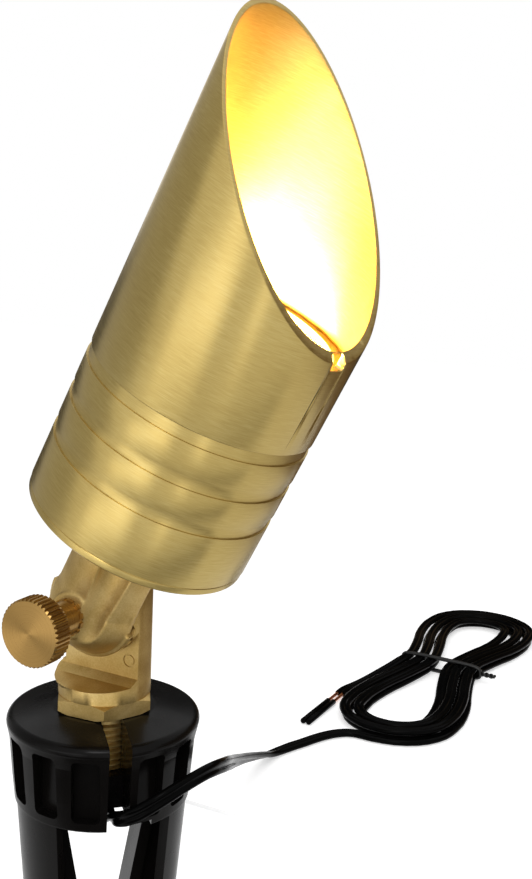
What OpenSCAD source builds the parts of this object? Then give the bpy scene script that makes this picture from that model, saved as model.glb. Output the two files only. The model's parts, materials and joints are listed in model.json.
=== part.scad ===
// Low-voltage garden spotlight: a brass lamp head with a slant-cut glare shroud, a toothed tilting
// knuckle with a thumb screw, a threaded base in a black ground stake, and a flat twin lead in a hank.
// Z is up and zero is the soil line on the stake's axis. The head tilts towards +X about an axis along Y.

/* [Head] */
// Tilt of the head from upright, as it stands at rest
head_tilt = 26.6; // [0:0.1:45]
// Distance from the tilt axis to the underside of the head
head_gap = 28.2; // [27.5:0.1:33]
// Sideways offset of the head's axis from the stake's axis, towards the thumb screw
head_off = 4.2; // [3:0.1:5]
// Length of the housing below the top groove
housing_l = 39.9; // [38:0.1:45]
// Wall of the housing
housing_wall = 2.5; // [2:0.1:3]
// Thickness of the housing's floor
floor_t = 3.5; // [2.5:0.1:5]
// Width of each turned groove
groove_w = 3.3; // [1.5:0.1:4]
// Depth of each turned groove
groove_depth = 0.5; // [0.3:0.1:0.8]
// Spacing of the grooves along the head
groove_pitch = 11; // [8:0.5:12]
// Length of the threaded spigot that the shroud screws onto
spigot_l = 15; // [12:0.5:18]
// Wall of the spigot
spigot_wall = 2.4; // [2:0.1:3]

/* [Glare shroud] */
// Wall of the shroud
shroud_wall = 2.2; // [1.6:0.1:3]
// Wall of the shroud at its tip, where its taper bore ends
tip_wall = 1; // [0.8:0.1:1.6]
// Step inside the shroud that holds the lens ring down
shoulder_step = 0.66; // [0.5:0.01:1]
// Height of the shroud's short side above the lens ring
visor_low = 4.8; // [3:0.1:12]
// Angle of the slanting cut from square
mouth_angle = 45.8; // [30:0.1:50]
// Turn of the shroud about the head's axis, from the underside of the head
shroud_turn = -9; // [-20:1:20]
// Width of the drain notch at the low point of the cut
notch_w = 5.5; // [3:0.1:8]
// Depth of the drain notch
notch_depth = 1.9; // [1:0.1:3]

/* [Lens and lamp] */
// Thickness of the cover glass
glass_t = 3; // [2:0.1:4]
// Thickness of the flat silicone gasket under the glass
gasket_t = 1.5; // [1:0.1:2]
// Thickness of the brass ring over the glass
ring_t = 1.3; // [1:0.1:2]
// Width of the brass ring over the glass
ring_w = 3.4; // [2.5:0.1:5]
// Diameter of the lamp's front rim
lamp_d = 50; // [48:0.1:50.5]
// Clearance between the lamp's rim and the spigot's bore
lamp_clear = 2; // [1:0.1:3]
// Length of the lamp's body
lamp_l = 34; // [31:0.5:36]
// Length of the lamp's two pins
pin_l = 6.5; // [5:0.5:7.5]
// Spacing of the lamp's two pins
pin_gap = 5.33; // [4:0.01:6.35]
// Height of the ceramic lamp holder
holder_h = 10; // [8.5:0.1:12]

/* [Knuckle] */
// Height of the tilt axis above the underside of the hexagon
pivot_h = 30.5; // [28:0.5:36]
// Diameter of the arm's stem
stem_d = 25.6; // [22:0.1:27]
// Diameter of the toothed rings
teeth_d = 28.4; // [27:0.1:30]
// Number of teeth on each ring
teeth_n = 24; // [16:2:36]
// Height of the teeth
teeth_h = 0.8; // [0.5:0.1:1]
// Clearance between the tips of the two toothed rings when the screw is backed off
teeth_clear = 0.1; // [0.05:0.05:0.3]
// Thickness of the arm beside the plate
arm_t = 12; // [10:0.5:13]
// Diameter of the bracket's round column
column_d = 26; // [24:0.5:27]
// Size of the hexagon across its flats
hex_af = 25.4; // [24:0.1:27]
// Height of the hexagon
hex_h = 4.2; // [3:0.1:6]
// Turn of the hexagon against the plate
hex_turn = 5; // [0:1:30]
// Length of the threaded nipple
nipple_l = 17.3; // [14:0.1:18]
// Outside diameter of the nipple's thread
nipple_d = 21.3; // [20:0.1:22]
// Pitch of the nipple's thread
nipple_pitch = 1.814; // [1:0.001:2]
// Bore of the nipple
nipple_bore = 13; // [10:0.1:14]

/* [Thumb screw] */
// Diameter of the knurled knob
knob_d = 18.2; // [16:0.1:22]
// Thickness of the knurled knob
knob_t = 6; // [4:0.1:8]
// Distance from the arm to the back of the knob
knob_neck = 9.2; // [8:0.1:14]
// Diameter of the screw's neck
neck_d = 9.5; // [8:0.1:11]
// Diameter of the screw's shank
screw_d = 6; // [5:0.1:6.5]
// Number of knurls round the knob
knurls = 44; // [24:2:60]
// Thickness of the lock washer
washer_t = 1.2; // [0.8:0.1:1.6]

/* [Stake] */
// Height of the stake's cap above the soil
cap_h = 52; // [48:0.5:70]
// Diameter of the cap at its widest
cap_d = 54.4; // [52:0.1:60]
// Radius of the cap's rounded rim
cap_rim = 2.3; // [1.5:0.1:3.5]
// Fall of the cap's top from its hub to its rim
cap_fall = 1.4; // [0:0.1:2.5]
// Thickness of the cap's top
cap_t = 4; // [3:0.1:5]
// Height of the skirt, from the cap's top to its lower lip
skirt_h = 26.5; // [25:0.5:30]
// Thickness of the skirt's wall
skirt_wall = 6.7; // [6:0.1:8]
// Height of the threaded hub, from the cap's top
hub_h = 24; // [21:0.1:25]
// Width of the slot that the lead leaves by
slot_w = 6; // [5.5:0.1:8]
// Direction of the slot, from +X
slot_turn = -45; // [-60:1:-30]
// Width of each pocket in the skirt
pocket_w = 7.8; // [5:0.1:8.5]
// Depth of each pocket in the skirt
pocket_depth = 3.6; // [2:0.1:4]
// Number of pockets on each side of the slot
pocket_n = 6; // [2:1:6]
// Length of the stake below the cap's top, without its point
stake_l = 212; // [180:1:260]
// Depth below the cap's top at which the legs begin to run in to the point
taper_from = 100; // [90:1:130]
// Radius that the legs lose above that depth
leg_draft = 6.2; // [2:0.1:10]
// Length of the stake's point
point_l = 8; // [5:1:20]
// Thickness of the stake's fins
fin_t = 4.6; // [3:0.1:6]
// Depth of the fork's opening below the cap's top
fork_l = 95; // [85:1:110]

/* [Lead] */
// Width of the flat twin lead
lead_w = 4.4; // [4:0.1:4.6]
// Thickness of the flat twin lead
lead_t = 2.2; // [1.8:0.1:2.4]
// Distance between the centres of the hank's two folds
hank_run = 112; // [100:1:130]
// Half the width of the hank's outer fold
hank_fold = 24; // [23:0.5:28]
// Step from one loop of the hank to the next
hank_step = 5.4; // [5.2:0.1:5.8]
// Length of bare copper at the stripped end
bare_l = 9; // [6:0.5:12]
// Length of the insulation slugs left on the stripped ends
slug_l = 24; // [15:1:30]

/* [Hidden] */
$fn = 96;
eps = 0.01;
face_gap = 0.2;    // between flat faces of pieces that move on each other
run_clear = 0.06;  // radial clearance of a shaft or thread that turns in its hole
seat_gap = 0.3;    // between a piece and the seat it only rests near

// Head, measured along its own axis from its underside
spigot_in = lamp_d / 2 + lamp_clear;
spigot_r = spigot_in + spigot_wall;
skirt_in = spigot_r + run_clear;
shroud_in = skirt_in - shoulder_step;
head_r = shroud_in + shroud_wall;
head_d = 2 * head_r;
bore_r = head_r - housing_wall - groove_depth;
collar_top = housing_l + groove_w;
spigot_top = collar_top + spigot_l;
gasket_z = spigot_top + face_gap;
glass_z = gasket_z + gasket_t;
ring_z = glass_z + glass_t;
shoulder_z = ring_z + ring_t + 0.05;
low_side = shoulder_z + visor_low;
mouth_mid = low_side + head_r * tan(mouth_angle);
mouth_top = mouth_mid + head_r * tan(mouth_angle);
lens_edge = skirt_in - 0.15;
lamp_front = glass_z - 1.2;
lamp_base = lamp_front - lamp_l;
holder_top = lamp_base - face_gap;
holder_low = holder_top - holder_h;
holder_w = 18;
holder_d = 11;
bridge_t = 1;
bridge_half = holder_w / 2 + 4;
bridge_w = holder_d - 1;
bridge_foot = 8;
seal_t = 1;
bolt_r = 8;         // the arm's threaded end, through the housing's floor
nut_h = 5;
bolt_top = floor_t + nut_h + 1;
wire_r = 0.9;
wire_y = -3.7;      // the head's two wires, from the head's axis
wire_x = 1.2;

// Knuckle
pivot_z = cap_h + pivot_h;
knuckle_y = -4.6;                 // plane of the base's tooth tips
plate_y = knuckle_y + teeth_h;    // flat face of the bracket
arm_face = knuckle_y - teeth_clear - teeth_h;
arm_out = arm_face - arm_t;
teeth_r = teeth_d / 2;
teeth_in = teeth_r - 3;
column_r = column_d / 2;
cavity_r = teeth_in - 0.5;
boss_r = 5.2;
elbow_r = 13.3;     // the arm's round elbow, about the crossing of its two axes
seat_r = 6.6;       // the flat seat of the thumb screw's washer on the elbow
disc_t = 1.9;       // thickness of the arm's toothed disc behind the elbow
valley_r = 5;       // the shallow valley down the arm, beside the screw
valley_turn = -62.5;
valley_in = 1.3;    // its depth at the tilt axis
valley_lean = 7;
hex_z = cap_h + face_gap;
foot_z = hex_z + hex_h;
chamfer_slope = tan(30);
corner_r = hex_af / 2 / cos(30);
collar_h = 3.6;     // the turned collar on the hexagon
face_y = plate_y + 1.2;           // the bracket's face, round its toothed boss
shelf_z = foot_z + collar_h;      // the shelf on the collar, in front of the face
ramp_z = shelf_z + 2.6;           // top of the ramp between the shelf and the face
ramp_y = face_y - 2.3;
lip_shift = 1.4;    // how far the cast lip round the collar stands out to the left
lip_low = 1.5;      // its underside above the hexagon
lip_r = 2.9;
flank_turn = 27;    // the flat on the bracket's left flank
flank_x = 11.6;
thread_r = nipple_d / 2;
nipple_low = cap_h - nipple_l;
lead_y = 1.2;       // the lead stands back from the axis here, behind the bracket's face
lead_gap = 0.35;    // between the lead's still half and the half that swivels with the base
base_bore = 3.2;
base_bore_y = 1.5;
screw_r = screw_d / 2;
screw_end = 7;
washer_y = arm_out - 0.05;
washer_r = neck_d / 2 + 0.4;
neck_y = washer_y - washer_t - 0.05;
knob_y = neck_y - knob_neck;

// Stake, measured down from the cap's top
cap_r = cap_d / 2;
skirt_r = cap_r - 2.4;
wall_in = cap_r - 2.2 - skirt_wall;
hub_bore = thread_r + run_clear;
hub_r = hub_bore + 3.8;
spike_top = 20;
spike_r = skirt_r - 0.1;
spike_mid = spike_r - leg_draft;
tip_r = 1.8;
spike_slope = (spike_mid - tip_r) / (stake_l - taper_from);
shell_t = 3;
slot_deep = nipple_l - 2;         // the slot opens the hub down to here
lip_step = 1.7;     // how much higher the skirt ends to the right of the slot
lip_w = 9.5;
fork_half = 9.3;    // half width of the fork at fork_ref below the cap's top
fork_ref = 42;
lining_t = 3.2;
lining_half = 5.5;

// Lead
slot_dir = [cos(slot_turn), sin(slot_turn), 0];
across = [-sin(slot_turn), cos(slot_turn), 0];
ground_z = lead_t / 2 + 0.2;
layer_z = lead_t + 0.6;
waist_in = 9;       // how far the runs are drawn in at the waist
waist_lift = 1.15;  // room for the tie under the waist
tie_w = 3;
tie_t = 0.8;
tie_clear = 0.35;
steps = 24;         // rings on each loop
first_layer = 2.375;
second_layer = 2.625;
loops_end = 4.6;
tail_turn = 4.75;
tail_end = 48;
tail_out = 27.5;
tail_rings = 6;
copper_r = 0.6;
copper_gap = 2.3;
slug_r = 1.1;
lead_route = [
    [0, lead_y, nipple_low - 1.2 - lead_gap], [0, 1.1, 32], [0.4, 0.3, 28.9], [1.6, -1.2, 26], [3.3, -3.2, 24],
    [5.4, -5.4, 22.9], [7.6, -7.5, 22.8], [9.6, -9.6, 23.6], [11.4, -11.6, 24.9],
    [13.3, -13.6, 26.4], [15.7, -15.4, 27.9], [18.6, -16.3, 29.3], [21.6, -16.1, 31],
    [24.4, -14.8, 33], [27, -12.6, 35], [29.1, -9.8, 36.6], [30.9, -6.6, 38], [32.5, -2.9, 39],
    [33.4, 0.9, 39.3], [33.6, 4.9, 38.8], [33, 9.4, 37.5], [31.8, 14.3, 35.7], [29.7, 20, 33.2],
    [27, 26.6, 30], [23.8, 34, 26.4], [20.4, 42, 22.5], [17.3, 50.4, 18.6], [14.6, 59, 14.9],
    [12.3, 67.5, 11.3], [10.5, 75.8, 7.9], [9.3, 83.5, 4.9], [8.7, 90.4, 2.3], [9.4, 96.6, 1.3],
    [11.4, 102.2, 1.3], [13.8, 107.8, 1.3], [16, 113.4, 1.3], [18.6, 118.6, 1.3],
    [21.8, 122.8, 1.3], [25.6, 125.4, 1.3], [29.5, 126, 1.3]
];
twist_on = 6.5;     // points of the route between which the lead turns on edge and flat again
twist_off = 31;
hank_start = lead_route[len(lead_route) - 1];
hank_x = hank_start[0] + 4.5;
hank_y = hank_start[1] + hank_run / 2 + hank_fold;

// The head's frame: Z along its axis, zero at its underside
module in_head() {
    translate([0, 0, pivot_z])
        rotate([0, head_tilt, 0])
            translate([0, -head_off, head_gap])
                children();
}

// The arm's frame: Z along the head's axis, zero at the tilt axis
module in_arm() {
    translate([0, 0, pivot_z])
        rotate([0, head_tilt, 0])
            children();
}

// The stake's frame: X along the slot, Z down from the cap's top
module in_stake() {
    translate([0, 0, cap_h])
        rotate([0, 0, slot_turn])
            children();
}

// A cylinder along -Y from y_from to y_to
module along_y(r, y_from, y_to) {
    translate([0, y_from, 0])
        rotate([90, 0, 0])
            cylinder(r = r, h = y_from - y_to);
}

module tube(r_out, r_in, h) {
    difference() {
        cylinder(r = r_out, h = h);
        translate([0, 0, -eps])
            cylinder(r = r_in, h = h + 2 * eps);
    }
}

// A flat rectangle with round corners, centred
module round_rect(w, h, r) {
    square([w - 2 * r, h], center = true);
    square([w, h - 2 * r], center = true);
    for (x = [-1, 1], y = [-1, 1])
        translate([x * (w / 2 - r), y * (h / 2 - r)])
            circle(r = r, $fn = 32);
}

// Radial teeth standing on the plane y = 0 and pointing towards -Y
module teeth_ring() {
    half = teeth_r * sin(180 / teeth_n) * 0.92;
    rotate([90, 0, 0])
        intersection() {
            for (i = [0:teeth_n - 1])
                rotate([0, 0, i * 360 / teeth_n])
                    translate([teeth_r + 1, 0, 0])
                        rotate([90, 0, -90])
                            linear_extrude(height = teeth_r - teeth_in + 1)
                                polygon([[-half, -0.3], [half, -0.3], [half, 0], [0.35, teeth_h],
                                         [-0.35, teeth_h], [-half, 0]]);
            translate([0, 0, -0.3])
                tube(teeth_r, teeth_in, teeth_h + 0.3);
        }
}

function unit(v) = v / norm(v);
function clamp01(x) = max(0, min(1, x));
function heading(p, i) = unit(p[min(i + 1, len(p) - 1)] - p[max(i - 1, 0)]);
function side_of(t) = unit(cross([0, 0, 1], t) + 0.001 * across);

// Turn of the lead's section at point i of the route: on edge round the skirt, flat on the soil
function edge_on(i) = 90 * clamp01((i - twist_on) / 4) * clamp01((twist_off - i) / 10);

// One ring of the flat lead's section at point i of a path, with n sides and turned by roll
function ring(p, i, n, roll = 0) =
    let(t = heading(p, i), flat = side_of(t), up = cross(t, flat), turn = n == 6 ? 0 : 180 / n,
        s = flat * cos(roll) + up * sin(roll), u = up * cos(roll) - flat * sin(roll),
        kx = 1 / cos(turn), ky = n == 6 ? 1 / sin(60) : 1 / cos(turn))
    [for (j = [0:n - 1])
        p[i] + s * lead_w / 2 * kx * cos(turn + j * 360 / n) + u * lead_t / 2 * ky * sin(turn + j * 360 / n)];

module swept(p, n, twisted = false) {
    rings = [for (i = [0:len(p) - 1]) ring(p, i, n, twisted ? edge_on(i) : 0)];
    last = (len(p) - 1) * n;
    walls = [for (i = [0:len(p) - 2], j = [0:n - 1])
        let(a = i * n + j, b = i * n + (j + 1) % n)
        each [[a, a + n, b + n], [a, b + n, b]]];
    near_cap = [for (j = [1:n - 2]) [0, j, j + 1]];
    far_cap = [for (j = [1:n - 2]) [last, last + j + 1, last + j]];
    polyhedron(points = [for (r = rings) each r], faces = concat(walls, near_cap, far_cap));
}

// How strongly the runs are drawn in, from 0 at the folds to 1 at the waist
function drawn(h) = pow(0.5 + 0.5 * cos(180 * max(-1, min(1, 2 * h / hank_run))), 1.5);

// Half width of the loop at turn t: in on the first layer, out again on the second
function loop_half(t) =
    let(k = clamp01((t - first_layer) / (second_layer - first_layer)))
    (1 - k) * (hank_fold - hank_step * t) + k * (hank_fold - hank_step * (loops_end - t));

function loop_z(t, h) =
    ground_z + waist_lift * drawn(h) + layer_z * clamp01((t - first_layer + 0.25) / 0.25);

// A point of the hank at turn t, from its near end, up the +X run and down the -X run
function hank_point(t) =
    let(k = (t - floor(t)) * steps, b = loop_half(t), run = hank_run / 2,
        h = k < 3 ? -run - b * cos(30 * k)
          : k < 9 ? -run + (k - 3) / 6 * hank_run
          : k < 15 ? run + b * sin(30 * (k - 9))
          : k < 21 ? run - (k - 15) / 6 * hank_run
          : -run - b * sin(30 * (k - 21)),
        w = k < 3 ? b * sin(30 * k)
          : k < 9 ? b - waist_in * drawn(h)
          : k < 15 ? b * cos(30 * (k - 9))
          : k < 21 ? -b + waist_in * drawn(h)
          : -b * cos(30 * (k - 21)))
    [hank_x + w, hank_y + h, loop_z(t, h)];

// The free tail leaves the last loop at the waist and runs out straight beside the near fold
function tail_point(h) =
    let(g = clamp01((h - 8) / 24),
        b = loop_half(tail_turn) + (tail_out - loop_half(tail_turn)) * clamp01(h / (tail_end - lead_w)),
        w = h > tail_end - lead_w - 1 ? tail_out : b - waist_in * drawn(h))
    [hank_x - w, hank_y - h, loop_z(tail_turn, h) - (layer_z + waist_lift * drawn(h) * g) * g];

hank_loops = [for (i = [0:tail_turn * steps]) hank_point(i / steps)];
hank_tail = [for (i = [1:tail_rings]) tail_point(i * (tail_end - lead_w) / tail_rings), tail_point(tail_end)];
hank_path = concat([hank_start], hank_loops, hank_tail);
tail_tip = [hank_x - tail_out, hank_y - tail_end, ground_z];

// Least distance between rings of the hank that are not neighbours along it
function hank_gap(n) =
    let(r = [for (i = [0:len(hank_path) - 1]) ring(hank_path, i, n)])
    min([for (i = [0:len(r) - 8], j = [i + 7:len(r) - 1])
        if (norm(hank_path[i] - hank_path[j]) < 3 * lead_w)
            min([for (a = r[i], b = r[j]) norm(a - b)])]);

// The stake

module cap_and_skirt() {
    rotate_extrude()
        polygon(concat(
            [[0, 0], [hub_r, 0]],
            [for (a = [80:-10:-20])
                [cap_r - cap_rim + cap_rim * cos(a), -cap_fall - cap_rim + cap_rim * sin(a)]],
            [[cap_r - 0.9, -cap_fall - 3 * cap_rim], [skirt_r + 0.7, -skirt_h + 8]],
            [for (a = [0:-30:-90]) [skirt_r - 0.6 + 0.6 * cos(a), -skirt_h + 0.6 + 0.6 * sin(a)]],
            [[0, -skirt_h]]));
}

// The part of the stake below the skirt, before the fork is opened
module spike() {
    intersection() {
        rotate_extrude()
            polygon([[0, -spike_top], [0, -stake_l - point_l], [0.5, -stake_l - point_l], [tip_r, -stake_l],
                     [spike_mid, -taper_from], [spike_r, -spike_top]]);
        union() {
            translate([0, 0, -stake_l / 2 - point_l])
                cube([fin_t, cap_d, stake_l + 2 * point_l], center = true);
            translate([0, 0, -stake_l / 2 - point_l])
                cube([cap_d, fin_t, stake_l + 2 * point_l], center = true);
            difference() {
                for (s = [0, 180])
                    rotate([0, 0, s])
                        translate([0, 0, -stake_l])
                            linear_extrude(height = stake_l - spike_top)
                                polygon([[0, 0], [-1.19 * cap_d, cap_d], [1.19 * cap_d, cap_d]]);
                rotate_extrude()
                    polygon([[0, eps - spike_top], [0, -taper_from - (spike_mid - shell_t) / spike_slope],
                             [spike_mid - shell_t, -taper_from], [spike_r - shell_t, eps - spike_top]]);
            }
            rotate([90, 0, 90])
                linear_extrude(height = 2 * lining_half, center = true)
                    fork_outline(lining_t);
        }
    }
}

// Front outline of the fork's opening, grown by grow on each side
module fork_outline(grow) {
    slope = fork_half / (fork_l - fork_ref);
    top_half = slope * (fork_l - spike_top) + grow;
    polygon([[0, -fork_l - grow / slope], [top_half, -spike_top], [-top_half, -spike_top]]);
}

module stake_pocket() {
    low = skirt_h - 2.7;
    high = cap_fall + cap_rim + 2;
    rotate([90, 0, 90])
        translate([0, -(low + high) / 2, skirt_r + 0.5 - pocket_depth])
            linear_extrude(height = 8)
                round_rect(pocket_w, low - high, 1.6);
}

module ground_stake() {
    color("#1d1d1f")
        in_stake()
            difference() {
                union() {
                    difference() {
                        cap_and_skirt();
                        translate([0, 0, -skirt_h - eps])
                            cylinder(r = wall_in, h = skirt_h - cap_t);
                    }
                    translate([0, 0, -hub_h])
                        cylinder(r = hub_r, h = hub_h - eps);
                    translate([hub_r - 1, -slot_w / 2 - 2.5, lip_step - skirt_h])
                        cube([wall_in - hub_r + 2, slot_w + 5, skirt_h - lip_step - cap_t / 2]);
                    for (a = [60:60:300])
                        rotate([0, 0, a])
                            translate([hub_r - 1, -1.25, -hub_h + 4])
                                cube([wall_in - hub_r + 2, 2.5, hub_h - 5]);
                    difference() {
                        spike();
                        translate([0, 0, 0.5 - hub_h])
                            cylinder(r = wall_in, h = hub_h);
                        rotate([90, 0, 90])
                            linear_extrude(height = cap_d, center = true)
                                fork_outline(0);
                    }
                }
                translate([0, 0, -skirt_h - eps])
                    cylinder(r = hub_bore, h = skirt_h + 2 * eps);
                translate([0, -slot_w / 2, -slot_deep])
                    cube([cap_r + 1, slot_w, slot_deep + 1]);
                translate([hub_r, -slot_w / 2, -skirt_h - 2])
                    cube([cap_r, slot_w, skirt_h + 3]);
                translate([wall_in - 2, -slot_w / 2, -skirt_h - 2])
                    cube([cap_r, slot_w / 2 + lip_w, lip_step + 2]);
                for (i = [0:pocket_n - 1], s = [-1, 1])
                    rotate([0, 0, s * (20 + 27 * i)])
                        stake_pocket();
            }
}

// The knuckle

module nipple_thread() {
    crests = floor((nipple_l - 1.5) / nipple_pitch);
    root = thread_r - 1.15;
    rotate_extrude()
        polygon(concat(
            [[0, nipple_low], [root - 0.4, nipple_low], [root, nipple_low + 0.5]],
            [for (i = [0:crests - 1])
                let(z = nipple_low + 0.6 + i * nipple_pitch)
                each [[root, z], [thread_r, z + 0.62], [thread_r, z + 0.95], [root, z + 1.57]]],
            [[root, hex_z + eps], [0, hex_z + eps]]));
}

module hexagon() {
    translate([0, 0, hex_z])
        intersection() {
            rotate([0, 0, hex_turn])
                cylinder(r = corner_r, h = hex_h + 0.5, $fn = 6);
            rotate_extrude()
                polygon([[0, 0], [hex_af / 2 + 0.7, 0], [corner_r + 0.5, (corner_r - hex_af / 2 - 0.2) * chamfer_slope],
                         [corner_r + 0.5, hex_h - (corner_r - column_r + 0.3) * chamfer_slope],
                         [column_r + 0.2, hex_h], [column_r - 1, hex_h], [column_r - 1, hex_h + 0.5],
                         [0, hex_h + 0.5]]);
        }
}

// The bracket's round column with its top rounded about the tilt axis
module column_blank() {
    translate([0, 0, foot_z])
        cylinder(r = column_r, h = pivot_z - foot_z);
    intersection() {
        translate([0, 0, pivot_z - eps])
            cylinder(r = column_r, h = column_r);
        translate([0, 0, pivot_z])
            along_y(column_r, column_r, -column_r);
    }
}

module bracket_column() {
    difference() {
        union() {
            column_blank();
            translate([-lip_shift, 0, foot_z + lip_low])
                rotate_extrude()
                    polygon(concat(
                        [[0, 0]],
                        [for (a = [-90:15:90]) [column_r - lip_r + lip_r * cos(a), lip_r + lip_r * sin(a)]],
                        [[0, 2 * lip_r]]));
        }
        rotate([90, 0, 90])
            linear_extrude(height = 2 * cap_d, center = true)
                polygon([[face_y, pivot_z + cap_r], [face_y, ramp_z], [ramp_y, shelf_z + 0.7],
                         [-column_r - 1.5, shelf_z - 0.1], [-cap_d, shelf_z - 0.1], [-cap_d, pivot_z + cap_r]]);
        rotate([0, 0, flank_turn])
            translate([-cap_d - flank_x, -cap_d / 2, ramp_z + 1])
                cube(cap_d);
    }
}

module knuckle_base() {
    color("#b9964f")
        difference() {
            union() {
                nipple_thread();
                hexagon();
                bracket_column();
                intersection() {
                    translate([0, 0, pivot_z]) {
                        along_y(teeth_r, face_y + eps, plate_y);
                        translate([0, plate_y, 0])
                            teeth_ring();
                    }
                    column_blank();
                }
            }
            translate([0, 0, nipple_low - eps])
                cylinder(r = nipple_bore / 2, h = nipple_l + hex_h);
            translate([0, base_bore_y, nipple_low])
                cylinder(r = base_bore, h = pivot_z - 8 - nipple_low);
            translate([0, 0, pivot_z])
                difference() {
                    along_y(cavity_r, plate_y + 4.3, -cap_d);
                    along_y(boss_r, plate_y + 4.4, -cap_d);
                }
            translate([0, 0, pivot_z])
                along_y(screw_r + run_clear, screw_end + 1, -cap_d);
            translate([9.8, 0, foot_z + 11.2])
                difference() {
                    along_y(1.9, face_y + 0.3, -cap_d);
                    along_y(1.5, face_y + 0.4, -cap_d);
                }
        }
}

module cord_grommet() {
    color("#141414")
        difference() {
            union() {
                translate([0, 0, nipple_low - 1.2])
                    cylinder(r = nipple_bore / 2 + 1.6, h = 1.2);
                translate([0, 0, nipple_low - eps])
                    cylinder(r = nipple_bore / 2 - 0.05, h = 6);
            }
            translate([0, lead_y, nipple_low + 2])
                rotate([0, 0, slot_turn])
                    cube([lead_t + 0.1, lead_w + 0.1, 12], center = true);
        }
}

// The lead's stretch inside the threaded base, up to the knuckle's cavity
module base_lead() {
    color("#101010")
        translate([0, lead_y, nipple_low - 1.2])
            rotate([0, 0, slot_turn])
                translate([-lead_t / 2, -lead_w / 2, 0])
                    cube([lead_t, lead_w, pivot_z - 10 - nipple_low]);
}

// Above the tilt axis the arm's toothed disc is no wider than its stem
module stem_width() {
    intersection() {
        children();
        union() {
            translate([-cap_r, -cap_d, -cap_d])
                cube([cap_d, 2 * cap_d, cap_d]);
            translate([-stem_d / 2, -cap_d, -1])
                cube([stem_d, 2 * cap_d, cap_d]);
        }
    }
}

module arm_blank() {
    stem_width()
        along_y(teeth_r, arm_face, arm_face - disc_t);
    along_y(seat_r, arm_face - disc_t, arm_out);
    translate([0, -head_off, 0]) {
        sphere(r = elbow_r);
        cylinder(r = stem_d / 2, h = head_gap - seal_t);
        translate([0, 0, head_gap - seal_t - eps])
            cylinder(r = bolt_r, h = seal_t + bolt_top);
    }
}

module knuckle_arm() {
    clear_r = column_r + 1.3;
    color("#bd9b52")
        in_arm()
            difference() {
                union() {
                    difference() {
                        arm_blank();
                        along_y(clear_r, cap_d, arm_face);
                        translate([-cap_r, arm_face, -cap_r])
                            cube([cap_d, cap_d, cap_r + clear_r + 1]);
                    }
                    stem_width()
                        translate([0, arm_face, 0])
                            mirror([0, 1, 0])
                                teeth_ring();
                }
                along_y(screw_r + 0.25, cap_d, -cap_d);
                difference() {
                    along_y(cavity_r, cap_d, arm_face - 4);
                    along_y(boss_r, cap_d, arm_face - 5);
                }
                translate([0, arm_face - 3.5, 7])
                    cylinder(r = 3, h = head_gap - 6);
                translate([0, -head_off, clear_r + 3])
                    cylinder(r = 5.5, h = head_gap + bolt_top);
                translate([0, -head_off, 0])
                    rotate([0, 0, valley_turn])
                        translate([stem_d / 2 + valley_r - valley_in, 0, 0])
                            rotate([0, -valley_lean, 0])
                                translate([0, 0, -elbow_r])
                                    cylinder(r = valley_r, h = elbow_r + head_gap - seal_t - 1.5);
            }
}

module arm_seal() {
    color("#2a2a2a")
        in_arm()
            translate([0, -head_off, head_gap - seal_t])
                tube(stem_d / 2 - 0.4, bolt_r + 0.1, seal_t);
}

module arm_lock_nut() {
    color("#b08d4a")
        in_head()
            translate([0, 0, floor_t])
                difference() {
                    rotate([0, 0, 30])
                        cylinder(r = 12.7, h = nut_h, $fn = 6);
                    translate([0, 0, -eps])
                        cylinder(r = bolt_r + 0.02, h = nut_h + 1);
                }
}

module lock_washer() {
    color("#a8854a")
        translate([0, 0, pivot_z])
            difference() {
                along_y(washer_r, washer_y, washer_y - washer_t);
                along_y(screw_r + 0.15, cap_d, -cap_d);
                for (a = [0:30:330])
                    rotate([0, a, 0])
                        translate([washer_r, 0, 0])
                            rotate([90, 0, 0])
                                cylinder(r = 0.6, h = cap_d, $fn = 16);
            }
}

module thumb_screw() {
    knob_r = knob_d / 2;
    color("#b98f52")
        translate([0, 0, pivot_z]) {
            along_y(screw_r, screw_end, neck_y - eps);
            along_y(neck_d / 2, neck_y, knob_y - eps);
            translate([0, knob_y, 0])
                rotate([90, 0, 0])
                    intersection() {
                        linear_extrude(height = knob_t)
                            polygon([for (i = [0:knurls - 1], s = [0:3])
                                let(a = (i + s / 4) * 360 / knurls, r = s < 2 ? knob_r : knob_r - 0.5)
                                [r * cos(a), r * sin(a)]]);
                        rotate_extrude()
                            polygon([[0, 0], [knob_r - 0.5, 0], [knob_r + 0.1, 0.6], [knob_r + 0.1, knob_t - 0.6],
                                     [knob_r - 0.5, knob_t], [0, knob_t]]);
                    }
        }
}

// The lamp head

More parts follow.
